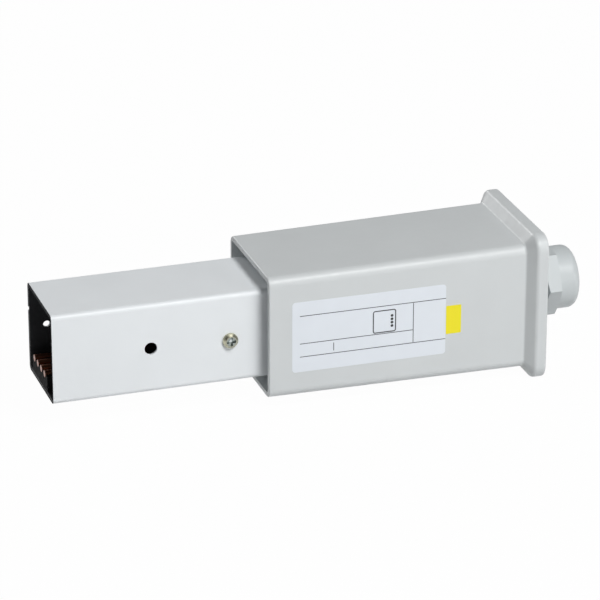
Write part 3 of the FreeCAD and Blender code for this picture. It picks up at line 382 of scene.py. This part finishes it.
OUTLINE = 0.55 * MM
OUTLINE_LEFT, OUTLINE_RIGHT = 158.15 * MM, 170.1 * MM
OUTLINE_BOTTOM, OUTLINE_TOP = -3.4 * MM, 8.5 * MM
OUTLINE_CORNER = 1.2 * MM
DOTS = 4
DOT_RADIUS = 0.72 * MM
DOT_PITCH = 1.78 * MM
DOT_ACROSS = OUTLINE_RIGHT - 2.1 * MM
DOT_LOWEST = -0.2 * MM
# A dot's corners are a little smaller than its half side, so that no two points of it coincide
DOT_CORNER = DOT_RADIUS * 0.99


def front_at(x):
    """How far back the cover's front wall lies."""
    return meet("cover", (x, CAD_BOX[0].y - MM, 0), (0, 1, 0)).y


FRONT_NEAR, FRONT_FAR = front_at(LABEL_LEFT), front_at(STICKER_RIGHT)


def on_front(x, z, lift):
    """A point above the cover's drafted front wall."""
    share = (x - LABEL_LEFT) / (STICKER_RIGHT - LABEL_LEFT)
    return Vector((x, FRONT_NEAR + (FRONT_FAR - FRONT_NEAR) * share - lift, z))


def rectangle(left, bottom, right, top):
    """The corners of a rectangle, in turn, as pairs."""
    return [(left, bottom), (right, bottom), (right, top), (left, top)]


def rounded_outline(left, bottom, right, top, corner):
    """Points round a rectangle with round corners, as pairs of x and z."""
    centres = [(right - corner, bottom + corner), (right - corner, top - corner),
               (left + corner, top - corner), (left + corner, bottom + corner)]
    points = []
    for turn, (x, z) in enumerate(centres):
        for step in range(CORNER_STEPS + 1):
            angle = math.radians(90 * (turn - 1 + step / CORNER_STEPS))
            points.append((x + corner * math.cos(angle), z + corner * math.sin(angle)))
    return points


def add_slab(mesh, outline, low, high):
    """A closed slab over an outline on the cover's front, between two heights above it."""
    back = [mesh.verts.new(on_front(x, z, low)) for x, z in outline]
    front = [mesh.verts.new(on_front(x, z, high)) for x, z in outline]
    mesh.faces.new(front)
    mesh.faces.new(list(reversed(back)))
    join_rings(mesh, back, front)


def add_band(mesh, outer, inner, low, high):
    """A closed band between two outlines of as many points."""
    rings = [[mesh.verts.new(on_front(x, z, lift)) for x, z in outline]
             for outline, lift in ((outer, low), (outer, high), (inner, high), (inner, low))]
    for ring, after in zip(rings, rings[1:] + rings[:1]):
        join_rings(mesh, ring, after)


def base_piece(name, mesh, finish):
    """Turn a mesh in the making into a piece that rides on the base."""
    bmesh.ops.recalc_face_normals(mesh, faces=mesh.faces)
    piece = mesh_object(name, mesh)
    piece.data.materials.append(FINISHES[finish])
    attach(piece, "base")


def film_piece(name, slot, left, bottom, right, top, corner):
    """A film with round corners on the cover's front."""
    mesh = bmesh.new()
    add_slab(mesh, rounded_outline(left, bottom, right, top, corner), 0, FILM)
    base_piece(name, mesh, slot)


def label_print():
    """Plain rules of an empty rating plate, and an outline of the trunking with its conductors."""
    mesh = bmesh.new()
    low, high = FILM, FILM + INK
    half = RULE / 2
    for height, end in ((RULE_UPPER, LABEL_RIGHT), (RULE_MIDDLE, DIVIDER), (RULE_LOWER, LABEL_RIGHT)):
        add_slab(mesh, rectangle(RULE_LEFT, height - half, end, height + half), low, high)
    uprights = ((DIVIDER, RULE_LOWER, RULE_UPPER),
                (SHORT_RULE, RULE_LOWER + SHORT_RULE_GAP, RULE_MIDDLE - SHORT_RULE_GAP))
    for x, bottom, top in uprights:
        add_slab(mesh, rectangle(x - half, bottom + RULE, x + half, top - RULE), low, high)
    outer = rounded_outline(OUTLINE_LEFT, OUTLINE_BOTTOM, OUTLINE_RIGHT, OUTLINE_TOP, OUTLINE_CORNER)
    inner = rounded_outline(OUTLINE_LEFT + OUTLINE, OUTLINE_BOTTOM + OUTLINE,
                            OUTLINE_RIGHT - OUTLINE, OUTLINE_TOP - OUTLINE, OUTLINE_CORNER - OUTLINE)
    add_band(mesh, outer, inner, low, high)
    for index in range(DOTS):
        z = DOT_LOWEST + index * DOT_PITCH
        dot = rounded_outline(DOT_ACROSS - DOT_RADIUS, z - DOT_RADIUS,
                              DOT_ACROSS + DOT_RADIUS, z + DOT_RADIUS, DOT_CORNER)
        add_slab(mesh, dot, low, high)
    base_piece("label_print", mesh, "label_ink")


film_piece("rating_label", "label_film", LABEL_LEFT, LABEL_BOTTOM, LABEL_RIGHT, LABEL_TOP, LABEL_CORNER)
film_piece("yellow_sticker", "yellow_film", STICKER_LEFT, STICKER_BOTTOM, STICKER_RIGHT, STICKER_TOP,
           STICKER_CORNER)
label_print()


# Threads of the gland's body

PITCH = 1.5 * MM
THREAD_DEPTH = 0.85 * MM
GROOVE_HALF = 0.62 * MM
CUTTER_PROUD = 0.1 * MM
TURN_STEPS = 48
SEAM = 2 * MICRON
SHARP_ANGLE = math.radians(30)


def groove_solid(end, outward):
    """A closed solid of the helical groove, from the hexagon out past one end of the body."""
    radius = meet("gland_body", (end - outward * PITCH, 0, CAD_BOX[1].z), (0, 0, -1)).z
    outside = radius + CUTTER_PROUD
    hexagon = meet("gland_body", (end + outward * PITCH, 0, outside), (-outward, 0, 0)).x
    widest = GROOVE_HALF * (THREAD_DEPTH + CUTTER_PROUD) / THREAD_DEPTH
    profile = ((radius - THREAD_DEPTH, 0), (outside, widest), (outside, -widest))
    first = hexagon + outward * (widest + CUTTER_PROUD)
    run = end + outward * PITCH - first
    count = math.ceil(abs(run) / PITCH * TURN_STEPS)
    mesh = bmesh.new()
    rings = []
    for step in range(count + 1):
        along = run * step / count
        angle = math.tau * along / PITCH
        points = [(first + along + shift, reach * math.cos(angle), reach * math.sin(angle))
                  for reach, shift in profile]
        rings.append([mesh.verts.new(point) for point in points])
    for ring, after in zip(rings, rings[1:]):
        join_rings(mesh, ring, after)
    mesh.faces.new(rings[0])
    mesh.faces.new(rings[-1])
    bmesh.ops.recalc_face_normals(mesh, faces=mesh.faces)
    return mesh


def threaded_body():
    """The gland's body with its two threads cut, in place of the plain solid."""
    mesh = bmesh.new()
    mesh.from_mesh(NODES["gland_body"].data)
    bmesh.ops.remove_doubles(mesh, verts=mesh.verts, dist=SEAM)
    piece = mesh_object("threaded_gland_body", mesh)
    low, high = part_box("gland_body")
    ends = ((low.x, -1), (high.x, 1))
    cutters = [mesh_object("groove", groove_solid(end, outward)) for end, outward in ends]
    for cutter in cutters:
        cut = piece.modifiers.new("thread", "BOOLEAN")
        cut.operation = "DIFFERENCE"
        cut.solver = "EXACT"
        cut.object = cutter
    data = bpy.data.meshes.new_from_object(piece.evaluated_get(bpy.context.evaluated_depsgraph_get()))
    piece.modifiers.clear()
    piece.data = data
    for cutter in cutters:
        bpy.data.objects.remove(cutter)
    data.materials.clear()
    data.materials.append(FINISHES["gland_grey"])
    # The plain solid's own normals would hide the grooves
    if "custom_normal" in data.attributes:
        data.attributes.remove(data.attributes["custom_normal"])
    data.shade_smooth()
    data.set_sharp_from_angle(angle=SHARP_ANGLE)
    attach(piece, "lid")
    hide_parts("gland_body")


threaded_body()


# Studio

FLOOR_SIDE = 8.0
FLOOR_GREY = 0.7
FLOOR_GLOW = 0.98
# Rays that see the floor glow, while the others see its paint
GLOW_RAYS = ("Is Camera Ray", "Is Glossy Ray", "Is Transmission Ray")
LAMP_DISTANCE = 1.8
LAMP_SIDE = 0.5
# Azimuth and elevation in degrees, and power in watts
LAMPS = {"key": (16.0, 49.0, 25.7), "fill": (35.0, 10.0, 4.7), "back": (195.0, 18.0, 12.0)}
SKY = 0.115


def add_up(tree, sources):
    """The sum of several values, at most 1."""
    total = sources[0]
    for source in sources[1:]:
        node = tree.nodes.new("ShaderNodeMath")
        node.use_clamp = True
        tree.links.new(total, node.inputs[0])
        tree.links.new(source, node.inputs[1])
        total = node.outputs["Value"]
    return total


def floor_material():
    """White to the camera and in reflections, over paint that takes a shadow."""
    material = bpy.data.materials.new("floor")
    material.use_nodes = True
    tree = material.node_tree
    tree.nodes.clear()
    output = tree.nodes.new("ShaderNodeOutputMaterial")
    paint = tree.nodes.new("ShaderNodeBsdfDiffuse")
    paint.inputs["Color"].default_value = (FLOOR_GREY, FLOOR_GREY, FLOOR_GREY, 1.0)
    glow = tree.nodes.new("ShaderNodeEmission")
    rays = tree.nodes.new("ShaderNodeLightPath")
    share = tree.nodes.new("ShaderNodeMath")
    share.operation = "MULTIPLY"
    share.inputs[1].default_value = FLOOR_GLOW
    tree.links.new(add_up(tree, [rays.outputs[name] for name in GLOW_RAYS]), share.inputs[0])
    blend = tree.nodes.new("ShaderNodeMixShader")
    tree.links.new(share.outputs["Value"], blend.inputs["Fac"])
    tree.links.new(paint.outputs["BSDF"], blend.inputs[1])
    tree.links.new(glow.outputs["Emission"], blend.inputs[2])
    tree.links.new(blend.outputs["Shader"], output.inputs["Surface"])
    return material


def floor():
    """A wide floor under the unit."""
    side = FLOOR_SIDE / 2
    level = CAD_BOX[0].z
    corners = [(x, y, level) for x, y in rectangle(-side, -side, side, side)]
    data = bpy.data.meshes.new("floor")
    data.from_pydata(corners, [], [(0, 1, 2, 3)])
    data.materials.append(floor_material())
    plane = bpy.data.objects.new("floor", data)
    bpy.context.collection.objects.link(plane)


def direction(azimuth, elevation):
    """The unit vector towards a viewer at an azimuth and elevation in degrees."""
    turn, rise = math.radians(azimuth), math.radians(elevation)
    return Vector((math.sin(turn) * math.cos(rise), -math.cos(turn) * math.cos(rise), math.sin(rise)))


def facing(azimuth, elevation):
    """The rotation of a lamp or camera that looks back along that vector."""
    return Euler((math.radians(90 - elevation), 0, math.radians(azimuth))).to_matrix()


def soft_light(name, azimuth, elevation, power):
    """A square lamp that looks at the middle of the unit."""
    lamp = bpy.data.lights.new(name, "AREA")
    lamp.shape = "SQUARE"
    lamp.size = LAMP_SIDE
    lamp.energy = power
    holder = bpy.data.objects.new(name, lamp)
    middle = (CAD_BOX[0] + CAD_BOX[1]) / 2
    place = Matrix.Translation(middle + direction(azimuth, elevation) * LAMP_DISTANCE)
    holder.matrix_world = place @ facing(azimuth, elevation).to_4x4()
    bpy.context.collection.objects.link(holder)


def sky():
    """Even white light from all round."""
    world = bpy.data.worlds.new("studio")
    world.use_nodes = True
    background = world.node_tree.nodes["Background"]
    background.inputs["Color"].default_value = (1.0, 1.0, 1.0, 1.0)
    background.inputs["Strength"].default_value = SKY
    bpy.context.scene.world = world


# Camera, as solved from the photograph's edges

VIEW_AZIMUTH, VIEW_ELEVATION, VIEW_ROLL = -18.23, 22.99, 0.06
VIEW_AIM = Vector((0.13147, 0.00003, 0.00511))
VIEW_DISTANCE = 1.7214
LENS_MM = 210.35
SENSOR_MM = 36.0


def camera():
    """The camera at the photograph's place."""
    data = bpy.data.cameras.new("camera")
    data.sensor_width = SENSOR_MM
    data.lens = LENS_MM
    holder = bpy.data.objects.new("camera", data)
    turn = facing(VIEW_AZIMUTH, VIEW_ELEVATION) @ Matrix.Rotation(math.radians(VIEW_ROLL), 3, "Z")
    place = VIEW_AIM + direction(VIEW_AZIMUTH, VIEW_ELEVATION) * VIEW_DISTANCE
    holder.matrix_world = Matrix.Translation(place) @ turn.to_4x4()
    bpy.context.collection.objects.link(holder)
    bpy.context.scene.camera = holder


floor()
sky()
for lamp_name, (azimuth, elevation, power) in LAMPS.items():
    soft_light(lamp_name, azimuth, elevation, power)
camera()
bpy.context.scene.view_settings.view_transform = "Standard"
